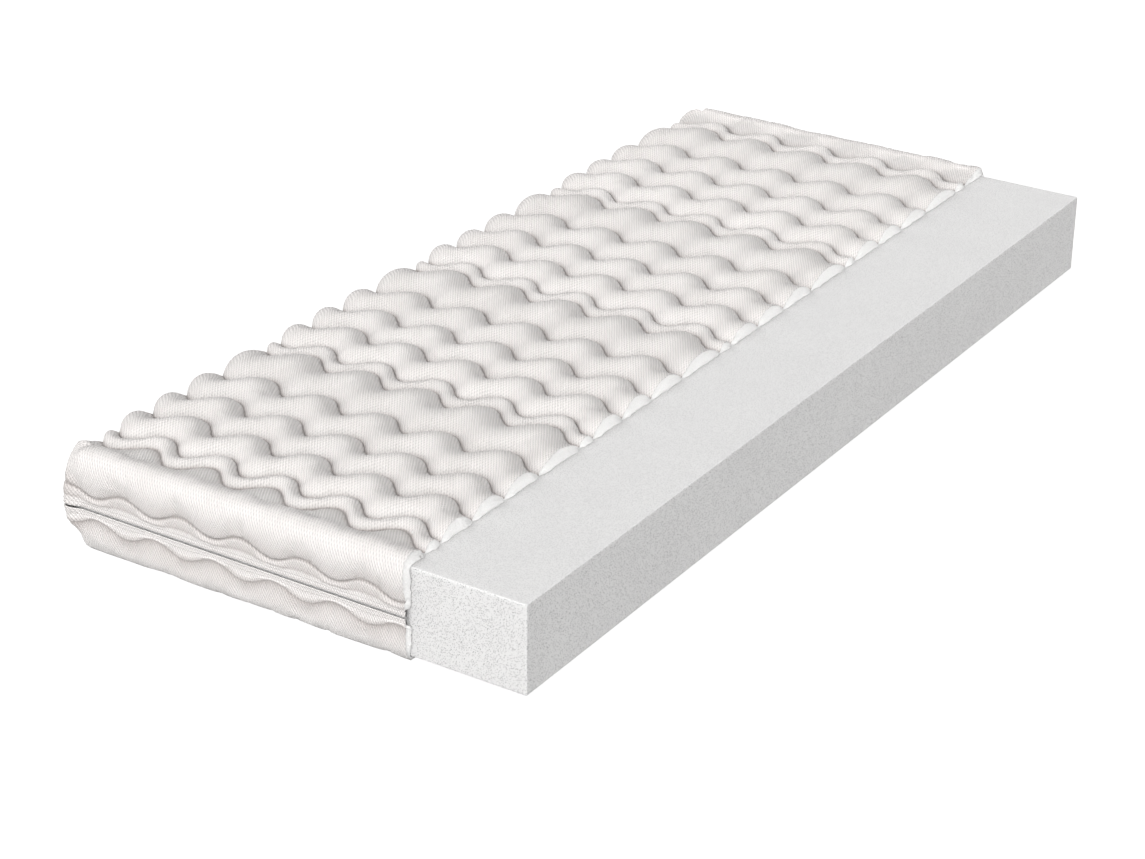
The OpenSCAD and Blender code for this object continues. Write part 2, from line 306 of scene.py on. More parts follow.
    def main_grid(self):
        """The top and the left wall, as rows along the mattress by columns across and down."""
        row_v, col_u = np.meshgrid(self.v, self.u, indexing="ij")
        col_w = np.clip(col_u - ROLL_U, 0, None)
        jag = 0.8 * MM * ripple(row_v, 3, 11 * MM, 60 * MM) * np.exp(-col_u / (6 * MM))
        jag = jag * smooth((ROLL_Y - np.abs(row_v)) / (10 * MM))
        unrolled = CUT_X - col_u
        phase = 2 * math.pi * (unrolled - CREST_X + CREST_LEAN * row_v / END_Y) / WAVE_LEN
        y = row_v + self.amp[:, None] * np.cos(phase)
        slope = -self.amp[:, None] * 2 * math.pi / WAVE_LEN * np.sin(phase)
        out, down, n_out, n_up = self.edge_point(col_w, LEFT_LIP_OUT)
        x = np.where(col_u <= ROLL_U, unrolled, ROLL_X - out) + jag
        points = np.stack([x, y, self.valley_z - self.side * down], axis=-1)
        normals = np.stack([-n_out, np.zeros_like(x), self.side * n_up], axis=-1)
        is_end = (self.line == -1) | (self.line == len(LINES) - 1)
        spread = np.where(is_end, self.end_blend / self.cell, 0)
        share = self.share[:, None] + spread[:, None] * col_w
        height = np.zeros_like(x)
        for k in np.unique(self.line):
            rows = self.line == k
            cell = self.cell[rows][:, None]
            height[rows] = self.relief(share[rows], cell, slope[rows], col_u[rows], k + 7, is_end[rows][0])
        seam = np.exp(-((ROLL_Y - np.abs(row_v)) / (5 * MM)) ** 2)
        turn = np.where(col_u <= ROLL_U, 0, math.pi / 2)
        inner = self.inner_of(col_w, np.full_like(col_w, SIDE_OUT), x, turn, 1)
        inner[..., [1, 4]] = y[..., None]
        panel = np.stack([unrolled, self.side * y], axis=-1)
        return self.grid(points, normals, height, seam, col_w, panel, inner, False)

    def end_grid(self, end):
        """An end wall with its corner, as rows down by columns across and round the corner."""
        row_w, col_p = np.meshgrid(self.edge_w, self.p, indexing="ij")
        col_turn = np.broadcast_to(self.turn, row_w.shape)
        turned = col_turn / (math.pi / 2)
        base_x = np.where(col_turn > 0, ROLL_X, CUT_X - col_p)
        rise = smooth((row_w - self.roll_w / 2) / (self.line_w - self.roll_w / 2))
        fall = smooth((self.lip_w - 3 * MM - row_w) / (self.lip_w - 3 * MM - self.line_w))
        keep = np.where(row_w < self.line_w, rise, fall) * (1 - smooth((turned - 0.6) / 0.4))
        end_wave = np.cos(2 * math.pi * (CUT_X - col_p - END_CREST_X[self.side]) / END_WAVE_LEN)
        w = row_w - keep * END_WAVE_AMP * end_wave * self.side
        lip = LIP_OUT + (LEFT_LIP_OUT - LIP_OUT) * smooth(turned)
        out, down, n_out, n_up = self.edge_point(w, lip)
        out = out + self.corner_push(row_w) * np.sin(math.pi * turned) ** 2
        jag = 0.8 * MM * ripple(row_w, 5 + end, 11 * MM, 60 * MM) * smooth(row_w / (10 * MM))
        jag_x = jag * np.exp(-col_p / (6 * MM))
        power = 2 + (CORNER_POWER - 2) * smooth(row_w / (self.roll_w if self.side > 0 else self.lip_w))
        way_x, way_y, n_x, n_y = corner_way(col_turn, power)
        x = base_x - out * way_x + jag_x
        y = end * (ROLL_Y + out * way_y)
        points = np.stack([x, y, self.valley_z - self.side * down], axis=-1)
        normals = np.stack([-n_out * n_x, end * n_out * n_y, self.side * n_up], axis=-1)
        share = (self.to_end[end] + row_w) / self.end_cell[end]
        along = np.minimum(col_p, ROLL_U) + turned * row_w
        seed = 7 + (-1 if end < 0 else len(LINES) - 1)
        height = self.relief(share, self.end_cell[end], np.zeros_like(share), along, seed, True)
        height = height * (1 - 0.35 * np.sin(math.pi * turned) ** 2)
        band = np.clip((row_w - self.line_w) / (self.lip_w - 4 * MM - self.line_w), 0, 1)
        height = height + 3.4 * MM * np.sin(math.pi * band ** 0.5) * (1 - smooth(turned))
        seam = np.exp(-((math.pi / 2 - col_turn) * ROLL_OUT / (5 * MM)) ** 2)
        inner = self.inner_of(row_w, foam_radius(base_x), base_x + jag_x, col_turn, end)
        panel = np.stack([CUT_X - col_p, self.side * end * (ROLL_Y + w)], axis=-1)
        return self.grid(points, normals, height, seam, row_w, panel, inner, True)

    def corner_push(self, w):
        """How far a vertical corner stands out of its plain shape, at an arc length round the edge."""
        if self.side > 0:
            start = 0.6 * self.roll_w
            return CORNER_OUT * smooth((w - start) / (self.lip_w - start))
        drawn = smooth((self.lip_w - w) / (70 * MM))
        return (CORNER_OUT - (CORNER_OUT + CORNER_TUCK) * drawn) * smooth(w / self.roll_w)

    def inner_of(self, w, radius, base_x, turn, end):
        """Function that gives the points of the quilt's inner side at a gap from the foam."""
        spots = {}
        for name, gap in (("near", FOAM_GAP), ("far", FOAM_GAP + BACKING_T)):
            bulge = 1.2 * MM * (1 - radius / SIDE_OUT)
            out, down = self.inner_point(w, radius, gap)
            corner = np.exp(-(np.hypot(out - SIDE_OUT, down - VALLEY_T) / (15 * MM)) ** 2)
            out = out + bulge * corner * (out > SIDE_OUT - 0.5 * MM)
            down = down - bulge * corner * (down < VALLEY_T + 0.5 * MM)
            x = np.where(turn > 0, ROLL_X - out * np.sin(turn), base_x)
            y = end * (ROLL_Y + out * np.cos(turn))
            spots[name] = np.stack([x, y, self.valley_z - self.side * down], axis=-1)
        return np.concatenate([spots["near"], spots["far"]], axis=-1)

    def grid(self, points, normals, height, seam, w, panel, inner, is_end):
        """A grid's finished surface: seam drawn in, lips left flat, underside pressed up by the floor."""
        fade = smooth((self.lip_w - w - 4 * MM) / (18 * MM))
        seam = seam * smooth((w - 25 * MM) / (20 * MM))
        hidden_hem = w > self.lip_w + 0.1 * MM
        height = np.where(hidden_hem, 0, height * fade - 1.2 * MM * seam * fade)
        surface = points + normals * height[..., None]
        low = surface[..., 2] - FLOOR_GAP
        press = 1.2 * MM
        surface[..., 2] = FLOOR_GAP + np.where(low > 6 * press, low, press * np.logaddexp(0, low / press))
        return {
            "points": points, "normals": normals, "height": height, "surface": surface, "w": w,
            "panel": panel, "near": inner[..., :3], "far": inner[..., 3:], "is_end": is_end,
        }

    def grids(self):
        """The main grid and the two end grids, each with whether its faces need turning over."""
        return [
            (self.main_grid(), self.side > 0),
            (self.end_grid(-1), self.side < 0),
            (self.end_grid(1), self.side > 0),
        ]


# ---- meshes ----

def grid_faces(rows, cols, flip):
    """Quads of a grid of vertices."""
    index = np.arange(rows * cols).reshape(rows, cols)
    quads = np.stack([index[:-1, :-1], index[:-1, 1:], index[1:, 1:], index[1:, :-1]], axis=-1).reshape(-1, 4)
    return quads[:, ::-1] if flip else quads


class Builder:
    """Collects vertices, their fabric coordinates and values and faces, and makes one object of them."""

    def __init__(self, *values):
        self.verts, self.panel, self.faces = [], [], []
        self.values = {name: [] for name in values}
        self.count = 0

    def add(self, verts, faces, panel=None, **values):
        verts = np.asarray(verts).reshape(-1, 3)
        self.verts.append(verts)
        self.panel.append(np.zeros((len(verts), 2)) if panel is None else panel.reshape(-1, 2))
        for name, stored in self.values.items():
            stored.append(values[name].ravel())
        self.faces += (np.asarray(faces) + self.count).tolist()
        self.count += len(verts)

    def grid(self, points, flip=False, panel=None, **values):
        self.add(points, grid_faces(*points.shape[:2], flip), panel, **values)

    def make(self, name, weld=0.0):
        mesh = bpy.data.meshes.new(name)
        mesh.from_pydata(np.concatenate(self.verts).tolist(), [], self.faces)
        corners = np.empty(len(mesh.loops), dtype=np.int32)
        mesh.loops.foreach_get("vertex_index", corners)
        layer = mesh.uv_layers.new(name="panel")
        layer.data.foreach_set("uv", np.concatenate(self.panel)[corners].astype(np.float32).ravel())
        for attribute, stored in self.values.items():
            data = mesh.attributes.new(attribute, "FLOAT", "POINT").data
            data.foreach_set("value", np.concatenate(stored).astype(np.float32))
        work = bmesh.new()
        work.from_mesh(mesh)
        if weld:
            bmesh.ops.remove_doubles(work, verts=work.verts, dist=weld)
            bmesh.ops.dissolve_degenerate(work, edges=work.edges, dist=1e-7)
        for face in work.faces:
            face.smooth = True
        work.to_mesh(mesh)
        work.free()
        obj = bpy.data.objects.new(name, mesh)
        bpy.context.scene.collection.objects.link(obj)
        return obj


def dress(obj, body, slot_name, material, *nodes):
    """Puts a piece on its body, gives it its finish and hides the CAD nodes it stands for."""
    obj.data.materials.clear()
    obj.data.materials.append(material)
    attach(obj, body)
    if nodes:
        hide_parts(*nodes)
    return obj


# ---- the quilt ----

def settle(obj):
    """Lets the sewn fabric swell and wrinkle between its stitch lines as a cloth, then keeps that shape."""
    mesh = obj.data
    held = np.empty(len(mesh.vertices), dtype=np.float32)
    mesh.attributes["held"].data.foreach_get("value", held)
    group = obj.vertex_groups.new(name="held")
    for k in np.flatnonzero(held > 0.01):
        group.add([int(k)], float(held[k]), "REPLACE")
    cloth = obj.modifiers.new("settle", "CLOTH")
    fabric = cloth.settings
    fabric.quality = 4
    fabric.mass = 0.15
    fabric.air_damping = 4
    fabric.tension_stiffness = fabric.compression_stiffness = 12
    fabric.shear_stiffness = 4
    fabric.bending_stiffness = 0.15
    fabric.shrink_min = -0.02
    fabric.use_pressure = True
    fabric.uniform_pressure_force = 2
    fabric.vertex_group_mass = "held"
    fabric.effector_weights.gravity = 0
    cloth.collision_settings.use_collision = False
    start = np.empty(len(mesh.vertices) * 3, dtype=np.float32)
    mesh.vertices.foreach_get("co", start)
    scene = bpy.context.scene
    for step in range(1, SETTLE_STEPS + 1):
        scene.frame_set(step)
    settled = obj.evaluated_get(bpy.context.evaluated_depsgraph_get()).to_mesh()
    end = np.empty(len(mesh.vertices) * 3, dtype=np.float32)
    settled.vertices.foreach_get("co", end)
    obj.modifiers.remove(cloth)
    scene.frame_set(1)
    move = (end - start).reshape(-1, 3)
    size = np.maximum(np.linalg.norm(move, axis=1, keepdims=True), 1e-9)
    spot = start.reshape(-1, 3) + move * np.tanh(size / SETTLE_MOST) * SETTLE_MOST / size
    spot[:, 2] = np.maximum(spot[:, 2], np.minimum(start.reshape(-1, 3)[:, 2], FLOOR_GAP + FACE_T))
    mesh.vertices.foreach_set("co", spot.astype(np.float32).ravel())
    mesh.update()


def quilted_fabric(half, material):
    """The quilted face fabric of one half, with its hem at the zip."""
    build = Builder("painted_crease_shade", "held")
    for grid, flip in half.grids():
        below_band = grid["w"] < half.lip_w - BAND_H
        # painted shade mask: 1 at each stitch line's crease, fading as the ridge rises; it darkens the knit
        # where shade falls
        painted_crease_shade = np.exp(-np.clip(grid["height"], 0, None) / (3.2 * MM)) * below_band
        at_cut = np.exp(-((CUT_X - grid["points"][..., 0]) / (6 * MM)) ** 2)
        held = np.where(below_band, np.maximum(smooth(1.5 - grid["height"] / MM), at_cut), 1)
        build.grid(grid["surface"], flip, grid["panel"], painted_crease_shade=painted_crease_shade, held=held)
    fabric = build.make(half.name + "_quilted_fabric", 1e-5)
    settle(fabric)
    cloth_depth = fabric.modifiers.new("cloth_depth", "SOLIDIFY")
    cloth_depth.thickness = FACE_T
    cloth_depth.offset = -1
    dress(fabric, half.body, "knit", material, half.name + "_face_fabric")
    return fabric


def wadding(half, material):
    """The fluffy middle layer, full height inside each ridge and rough where it is cut."""
    build = Builder()
    low = np.linspace(0, 1, 13)[None, :]
    for grid, flip in half.grids():
        from_cut = np.abs(grid["points"][..., 0] - CUT_X)
        sunk = 0.35 * MM + 1.6 * MM * smooth((from_cut - 4 * MM) / (25 * MM))
        depth = np.minimum(FACE_T + sunk, (grid["height"] + VALLEY_T) * 0.55)
        outer = grid["surface"] - grid["normals"] * depth[..., None]
        inner = grid["far"]
        build.grid(outer, flip, grid["panel"])
        build.grid(inner, not flip, grid["panel"])
        cut_edge = outer[:, :1] * (1 - low[..., None]) + inner[:, :1] * low[..., None]
        thick = np.linalg.norm(outer[:, :1] - inner[:, :1], axis=-1)
        spread = 0.4 * np.sin(np.pi * low ** 2) + 0.6 * np.sin(np.pi * low ** 4)
        tufts = 0.6 + 0.4 * SCATTER.random(cut_edge.shape[:2])
        cut_edge[..., 0] += FLUFF_OUT * spread * tufts * np.clip(thick / (12 * MM), 0.15, 1)
        cut_panel = np.stack([cut_edge[..., 1] + cut_edge[..., 2], cut_edge[..., 0]], axis=-1)
        build.grid(cut_edge, not flip, cut_panel)
        if grid["is_end"]:
            rim = np.stack([outer[-1], inner[-1]])
        else:
            rim = np.stack([outer[:, -1], inner[:, -1]], axis=1)
        build.grid(rim, flip)
    piece = build.make(half.name + "_wadding_layer", 1e-5)
    dress(piece, half.body, "wadding", material, half.name + "_wadding")
    return piece


def backing(half, material):
    """The thin nonwoven fabric on the quilt's inner side."""
    build = Builder()
    for grid, flip in half.grids():
        build.grid(grid["near"], flip, grid["panel"])
    piece = build.make(half.name + "_backing_cloth", 1e-5)
    cloth_depth = piece.modifiers.new("cloth_depth", "SOLIDIFY")
    cloth_depth.thickness = BACKING_T
    cloth_depth.offset = 1
    dress(piece, half.body, "backing", material, half.name + "_backing")
    return piece


# ---- thread ----

def stitch_shape(length, radius, sides=5):
    """One stitch along X: a slim body with a tip at each end."""
    rings = []
    for place in (-0.3, 0.3):
        for corner in range(sides):
            turn = corner * 2 * math.pi / sides
            rings.append((place * length, radius * math.cos(turn), radius * math.sin(turn)))
    tip = (0.5 * length, 0, -0.6 * radius)
    verts = [(-tip[0], tip[1], tip[2])] + rings + [tip]
    last = 2 * sides + 1
    faces = []
    for corner in range(sides):
        here, after = 1 + corner, 1 + (corner + 1) % sides
        faces += [(0, after, here), (here, after, after + sides), (here, after + sides, here + sides)]
        faces.append((here + sides, after + sides, last))
    return np.array(verts), np.array(faces)


def along_line(points, normals, pitch, start=0.5):
    """Evenly spaced places, directions and normals on a polyline."""
    steps = np.linalg.norm(np.diff(points, axis=0), axis=1)
    length = np.concatenate([[0], np.cumsum(steps)])

    def at(places, values):
        return np.stack([np.interp(places, length, values[:, k]) for k in range(3)], axis=1)

    places = np.arange(start * pitch, length[-1] - 0.4 * pitch, pitch)
    tangent = at(places + 0.4 * pitch, points) - at(places - 0.4 * pitch, points)
    tangent /= np.linalg.norm(tangent, axis=1, keepdims=True)
    facing = at(places, normals)
    facing -= tangent * np.sum(facing * tangent, axis=1, keepdims=True)
    facing /= np.linalg.norm(facing, axis=1, keepdims=True)
    return at(places, points), tangent, facing


def place_shapes(build, shape, faces, spots, axes):
    """Adds one copy of a shape at every spot, turned by its own three axes."""
    verts = spots[:, None] + np.einsum("vk,nkc->nvc", shape, axes)
    count = len(shape)
    offsets = np.arange(len(spots))[:, None, None] * count
    build.add(verts, (faces[None] + offsets).reshape(-1, 3))


def sew(build, points, normals, stitch):
    """Adds a row of stitches along a polyline."""
    pitch, length, radius, rise = stitch
    shape, faces = stitch_shape(length, radius)
    spots, tangent, facing = along_line(points, normals, pitch)
    axes = np.stack([tangent, np.cross(facing, tangent), facing], axis=1)
    place_shapes(build, shape, faces, spots + facing * rise, axes)


def quilt_stitches(half, material):
    """Stitches along every wavy line of the quilt, from the cut to the zip band."""
    main = half.grids()[0][0]
    kept = half.u < ROLL_U + half.lip_w + SLIT - BAND_H
    build = Builder()
    for place in LINES:
        row = int(np.argmin(np.abs(half.v - place)))
        sew(build, main["surface"][row][kept], main["normals"][row][kept], QUILT_STITCH)
    piece = build.make(half.name + "_quilt_stitches")
    dress(piece, half.body, "thread", material, half.name + "_quilt_threads")


def end_stitches(half, material):
    """Stitches along the wavy line of both end walls."""
    build = Builder()
    row = int(np.argmin(np.abs(half.edge_w - half.line_w)))
    for grid, _ in half.grids()[1:]:
        sew(build, grid["surface"][row], grid["normals"][row], QUILT_STITCH)
    piece = build.make(half.name + "_end_stitches")
    dress(piece, half.body, "thread", material, half.name + "_end_threads")


def corner_stitches(half, material):
    """Stitches down the seam at each left corner."""
    build = Builder()
    rows = (half.edge_w > 30 * MM) & (half.edge_w < half.lip_w - 6 * MM)
    for grid, _ in half.grids()[1:]:
        sew(build, grid["surface"][rows, -1], grid["normals"][rows, -1], SEAM_STITCH)
    piece = build.make(half.name + "_corner_stitches")
    dress(piece, half.body, "thread", material, half.name + "_corner_seams")


def zip_stitches(half, material):
    """Two rows of stitches round the mattress, near the lip and along the hem."""
    (main, _), (front, _), (back, _) = half.grids()
    build = Builder()
    for height in LIP_STITCHES:
        row = int(np.argmin(np.abs(half.edge_w - (half.lip_w + SLIT - height))))
        col = len(half.flat_u) + row
        path, facing = (
            np.concatenate([front[key][row], main[key][1:-1, col], back[key][row][::-1]])
            for key in ("surface", "normals")
        )
        sew(build, path, facing, LIP_STITCH)
    piece = build.make(half.name + "_zip_stitches")
    dress(piece, half.body, "thread", material, half.name + "_zip_stitching")


# ---- zip ----

def zip_path(depth):
    """Plan of the zip round the cut cover at a depth inside its outer face: points and outward normals."""
    out = INSET - depth
    turn = np.linspace(0, math.pi / 2, 13)[:-1]
    straight_x = np.arange(CUT_X, ROLL_X, -10 * MM)
    straight_y = np.arange(-ROLL_Y, ROLL_Y, 10 * MM)
    way_x, way_y, n_x, n_y = corner_way(turn, CORNER_POWER)
    front = np.stack([straight_x, np.full_like(straight_x, -ROLL_Y - out)], axis=1)
    front_corner = np.stack([ROLL_X - out * way_x, -ROLL_Y - out * way_y], axis=1)
    left = np.stack([np.full_like(straight_y, ROLL_X - out), straight_y], axis=1)
    back_corner = np.stack([ROLL_X - out * way_y, ROLL_Y + out * way_x], axis=1)
    back = front[::-1] * [1, -1]
    normals = np.concatenate([
        np.tile([0, -1], (len(front), 1)), np.stack([-n_x, -n_y], axis=1), np.tile([-1, 0], (len(left), 1)),
        np.stack([-n_y, n_x], axis=1), np.tile([0, 1], (len(back), 1)),
    ])
    return np.concatenate([front, front_corner, left, back_corner, back]), normals


def woven_tape(half, material):
    """The woven tape, swept round the mattress behind the lips."""
    path, normals = zip_path(TAPE_DEPTH)
    length = np.concatenate([[0], np.cumsum(np.linalg.norm(np.diff(path, axis=0), axis=1))])
    outer = path + normals * 0.1 * MM * ripple(length, 9, 40 * MM, 200 * MM)[:, None]
    inner = outer - normals * TAPE_T
    near, far = TAPE_LO.z - ZIP_Z, TAPE_HI.z - ZIP_Z
    heights = np.linspace(near, far, 5)
    loop = [(outer, h) for h in heights] + [(inner, h) for h in heights[::-1]] + [(outer, near)]
    levels = [np.column_stack([side, np.full(len(path), ZIP_Z + half.side * h)]) for side, h in loop]
    points = np.stack(levels, axis=1)
    around = np.array([h if side is outer else -h for side, h in loop])
    panel = np.stack(np.meshgrid(length, around, indexing="ij"), axis=-1)
    build = Builder()
    build.grid(points, half.side < 0, panel)
    for end, turned in ((0, half.side > 0), (-1, half.side < 0)):
        rim = points[end, :5], points[end, 9:4:-1]
        build.grid(np.stack(rim), not turned)
    piece = build.make(half.name + "_woven_tape", 1e-6)
    dress(piece, half.body, "zip_tape", material, half.name + "_zip_tape")


def nylon_coil(half, material):
    """The row of nylon loops, each a small rounded bridge sewn to the tape."""
    path, normals = zip_path(COIL_DEPTH)
    middle = ZIP_Z + half.side * ((COIL_LO.z + COIL_HI.z) / 2 - ZIP_Z)
    points = np.column_stack([path, np.full(len(path), middle)])
    facing = np.column_stack([normals, np.zeros(len(path))])
    spots, tangent, out = along_line(points, facing, COIL_PITCH, 0.25 if half.side > 0 else 0.75)
    first, last = COIL_GAP[half.side]
    in_gap = (spots[:, 0] < ROLL_X) & (spots[:, 1] > first) & (spots[:, 1] < last)
    spots, tangent, out = spots[~in_gap], tangent[~in_gap], out[~in_gap]
    shape, faces = stitch_shape(COIL_HI.z - COIL_LO.z, 0.52 * MM, 6)
    up = np.tile([0.0, 0.0, 1.0], (len(spots), 1))
    axes = np.stack([up, np.cross(out, up), 1.8 * out], axis=1)
    build = Builder()
    place_shapes(build, shape, faces, spots, axes)
    dress(build.make(half.name + "_nylon_coil"), half.body, "zip_coil", material, half.name + "_zip_coil")


def broken_edges(node, name, body, material, bevel):
    """A hard CAD piece with its sharp edges broken."""
    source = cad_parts[node]
    obj = bpy.data.objects.new(name, source.data.copy())
    bpy.context.scene.collection.objects.link(obj)
    work = bmesh.new()
    work.from_mesh(obj.data)
    bmesh.ops.remove_doubles(work, verts=work.verts, dist=1e-6)
    bmesh.ops.dissolve_limit(work, angle_limit=math.radians(2), verts=work.verts, edges=work.edges)
    for face in work.faces:
        face.smooth = False
    work.to_mesh(obj.data)
    work.free()
    edge = obj.modifiers.new("broken_edge", "BEVEL")
    edge.width = bevel
    edge.segments = 2
    edge.limit_method = "ANGLE"
    edge.angle_limit = math.radians(40)
    return dress(obj, body, "zip_metal", material, node)


# ---- foam ----

def edge_samples(low, high, step):
    """Even samples from low to high with extra ones near both ends."""
    near = np.array([0, 0.4, 0.9, 1.5, 3, 6, 12, 20]) * MM
    count = max(2, round((high - low - 2 * near[-1]) / step))
    middle = np.linspace(low + near[-1], high - near[-1], count + 1)
    return np.concatenate([low + near[:-1], middle, high - near[-2::-1]])


def soften(points):
    """Rounds the block's edges, tightly where the foam is bare and widely under the cover."""
    radius = foam_radius(points[:, 0])[:, None]
    held = np.clip(points, np.array(FOAM_LO) + radius, np.array(FOAM_HI) - radius)
    away = points - held
    size = np.linalg.norm(away, axis=1, keepdims=True)
    farthest = np.max(np.abs(away), axis=1, keepdims=True)
    scale = np.where(size > 1e-9, farthest / np.maximum(size, 1e-9), 1)
    return held + away * scale


def foam_block(material):
    """The foam: square where it is bare, eased by the cover's pull where it is covered."""
    sides = [edge_samples(low, high, 20 * MM) for low, high in zip(FOAM_LO, FOAM_HI)]
    build = Builder()
    for axis in range(3):
        first, second = (axis + 1) % 3, (axis + 2) % 3
        a, b = np.meshgrid(sides[first], sides[second], indexing="ij")
        for at_end in (False, True):
            points = np.empty(a.shape + (3,))
            points[..., axis] = sides[axis][-1 if at_end else 0]
            points[..., first] = a
            points[..., second] = b
            softened = soften(points.reshape(-1, 3)).reshape(points.shape)
            build.grid(softened, at_end, np.stack([a, b], axis=-1))
    obj = build.make("foam_block", 1e-6)
    dress(obj, "core", "foam", material, "foam_core")
    return obj


# ---- materials ----

def join(tree, value, socket):
    """Links a socket or sets a plain value."""
    if isinstance(value, bpy.types.NodeSocket):
        tree.links.new(value, socket)
    else:
        socket.default_value = value


def math_node(tree, operation, *inputs):
    """Maths node; each input is a socket or a plain value."""
    node = tree.nodes.new("ShaderNodeMath")
    node.operation = operation
    for socket, value in zip(node.inputs, inputs):
        join(tree, value, socket)
    return node.outputs[0]


def ramp(tree, factor, *stops):
    """Colour ramp; each stop is a place and a grey or a colour."""
    node = tree.nodes.new("ShaderNodeValToRGB")
    tree.links.new(factor, node.inputs[0])
    points = node.color_ramp.elements
    while len(points) < len(stops):
        points.new(0.5)
    for point, (place, colour) in zip(points, stops):
        point.position = place
        point.color = (*((colour,) * 3 if isinstance(colour, float) else colour), 1)
    return node.outputs[0]


def tinted(tree, colour, shade):
    """A colour multiplied by a shade."""
    node = tree.nodes.new("ShaderNodeMix")
    node.data_type = "RGBA"
    node.blend_type = "MULTIPLY"
    node.inputs[0].default_value = 1
    join(tree, colour if isinstance(colour, bpy.types.NodeSocket) else (*colour, 1), node.inputs[6])
    tree.links.new(shade, node.inputs[7])
    return node.outputs[2]


def surface(name, roughness, **settings):
    """A new material with its plain values set: the material, its tree and its shader."""
    mat = bpy.data.materials.new(name)
    mat.use_nodes = True
    tree = mat.node_tree
    shader = tree.nodes["Principled BSDF"]
    shader.inputs["Roughness"].default_value = roughness
    for key, value in settings.items():
        shader.inputs[key.replace("_", " ").title()].default_value = value
    return mat, tree, shader


def raised(tree, shader, height, distance):
    """Sends a height through a bump into the shader."""
    bump = tree.nodes.new("ShaderNodeBump")
    bump.inputs["Strength"].default_value = 1.0
    bump.inputs["Distance"].default_value = distance
    tree.links.new(height, bump.inputs["Height"])
    tree.links.new(bump.outputs[0], shader.inputs["Normal"])


def noise(tree, vector, scale, detail=3.0, roughness=0.55):
    node = tree.nodes.new("ShaderNodeTexNoise")
    tree.links.new(vector, node.inputs["Vector"])
    node.inputs["Scale"].default_value = scale
    node.inputs["Detail"].default_value = detail
    node.inputs["Roughness"].default_value = roughness
    return node.outputs["Fac"]


def cells(tree, vector, scale):
    node = tree.nodes.new("ShaderNodeTexVoronoi")
    tree.links.new(vector, node.inputs["Vector"])
    node.inputs["Scale"].default_value = scale
    return node.outputs["Distance"]


def object_place(tree):
    return tree.nodes.new("ShaderNodeTexCoord").outputs["Object"]


def panel_place(tree):
    """Place in the flat fabric: across and along, in metres."""
    uv = tree.nodes.new("ShaderNodeUVMap")
    uv.uv_map = "panel"
    apart = tree.nodes.new("ShaderNodeSeparateXYZ")
    tree.links.new(uv.outputs[0], apart.inputs[0])
    return apart.outputs[0], apart.outputs[1]


def wave_of(tree, place, pitch):
    """Cosine along a place."""
    return math_node(tree, "COSINE", math_node(tree, "MULTIPLY", place, 2 * math.pi / pitch))


def knit():
    """White stretch knit with ribs of staggered dimples and a warm painted shade in its creases."""
    mat, tree, shader = surface("knit", 0.88, sheen_weight=0.25, sheen_roughness=0.45)
    across, along = panel_place(tree)
    step = math_node(tree, "DIVIDE", along, STITCH_PITCH)
    right, left = (
        math_node(tree, "ADD", math_node(tree, "DIVIDE", across, way * RIB_PITCH), step) for way in (1, -1)
    )
    ribs = math_node(tree, "MULTIPLY", wave_of(tree, right, 1), 0.65)
    dots = math_node(tree, "MULTIPLY_ADD", wave_of(tree, left, 1), 0.35, ribs)
    lumps = math_node(tree, "MULTIPLY", noise(tree, object_place(tree), 90.0), 0.8)
    height = math_node(tree, "ADD", dots, lumps)
    shade = ramp(tree, math_node(tree, "MULTIPLY_ADD", dots, 0.5, 0.5), (0.0, 0.76), (0.6, 1.0))
    mottle = ramp(tree, noise(tree, object_place(tree), 14.0), (0.3, (0.965, 0.96, 0.955)), (0.7, 1.0))
    # painted shade: the knit turns a warm grey where its ridges sink to each stitch line, standing in for the
    # shade in the creases
    painted_crease_input = tree.nodes.new("ShaderNodeAttribute")
    painted_crease_input.attribute_name = "painted_crease_shade"
    deep, shallow = (0.42, 0.39, 0.38), (0.87, 0.855, 0.85)
    painted_crease_shade = ramp(tree, painted_crease_input.outputs["Fac"], (0.12, 1.0), (0.4, shallow), (1.0, deep))
    colour = tinted(tree, tinted(tree, tinted(tree, KNIT_WHITE, shade), mottle), painted_crease_shade)
    tree.links.new(colour, shader.inputs["Base Color"])
    raised(tree, shader, height, 0.6 * MM)
    return mat


def fibre():
    """Loose white polyester fibre."""
    mat, tree, shader = surface(
        "wadding", 0.95, sheen_weight=0.3, subsurface_weight=0.8, subsurface_scale=6 * MM
    )
    shader.inputs["Subsurface Radius"].default_value = (1, 1, 1)
    place = object_place(tree)
    strands = noise(tree, place, 420.0, 5.0, 0.7)
    tufts = noise(tree, place, 110.0, 2.0)
    height = math_node(tree, "ADD", strands, tufts)
    colour = ramp(tree, strands, (0.3, (0.86, 0.86, 0.85)), (0.6, (0.97, 0.97, 0.96)))
    tree.links.new(colour, shader.inputs["Base Color"])
    raised(tree, shader, height, 1.6 * MM)
    return mat


def nonwoven():
    """Thin bonded fabric with a point emboss."""
    mat, tree, shader = surface("backing", 0.9)
    across, along = panel_place(tree)
    points = math_node(tree, "MULTIPLY", wave_of(tree, across, 2.6 * MM), wave_of(tree, along, 2.6 * MM))
    fibres = noise(tree, object_place(tree), 700.0)
    colour = ramp(tree, math_node(tree, "MULTIPLY_ADD", points, 0.5, 0.5), (0.0, 0.84), (0.8, 0.90))
    shade = ramp(tree, fibres, (0.3, 0.92), (0.7, 1.0))
    tree.links.new(tinted(tree, colour, shade), shader.inputs["Base Color"])
    raised(tree, shader, points, 0.15 * MM)
    return mat


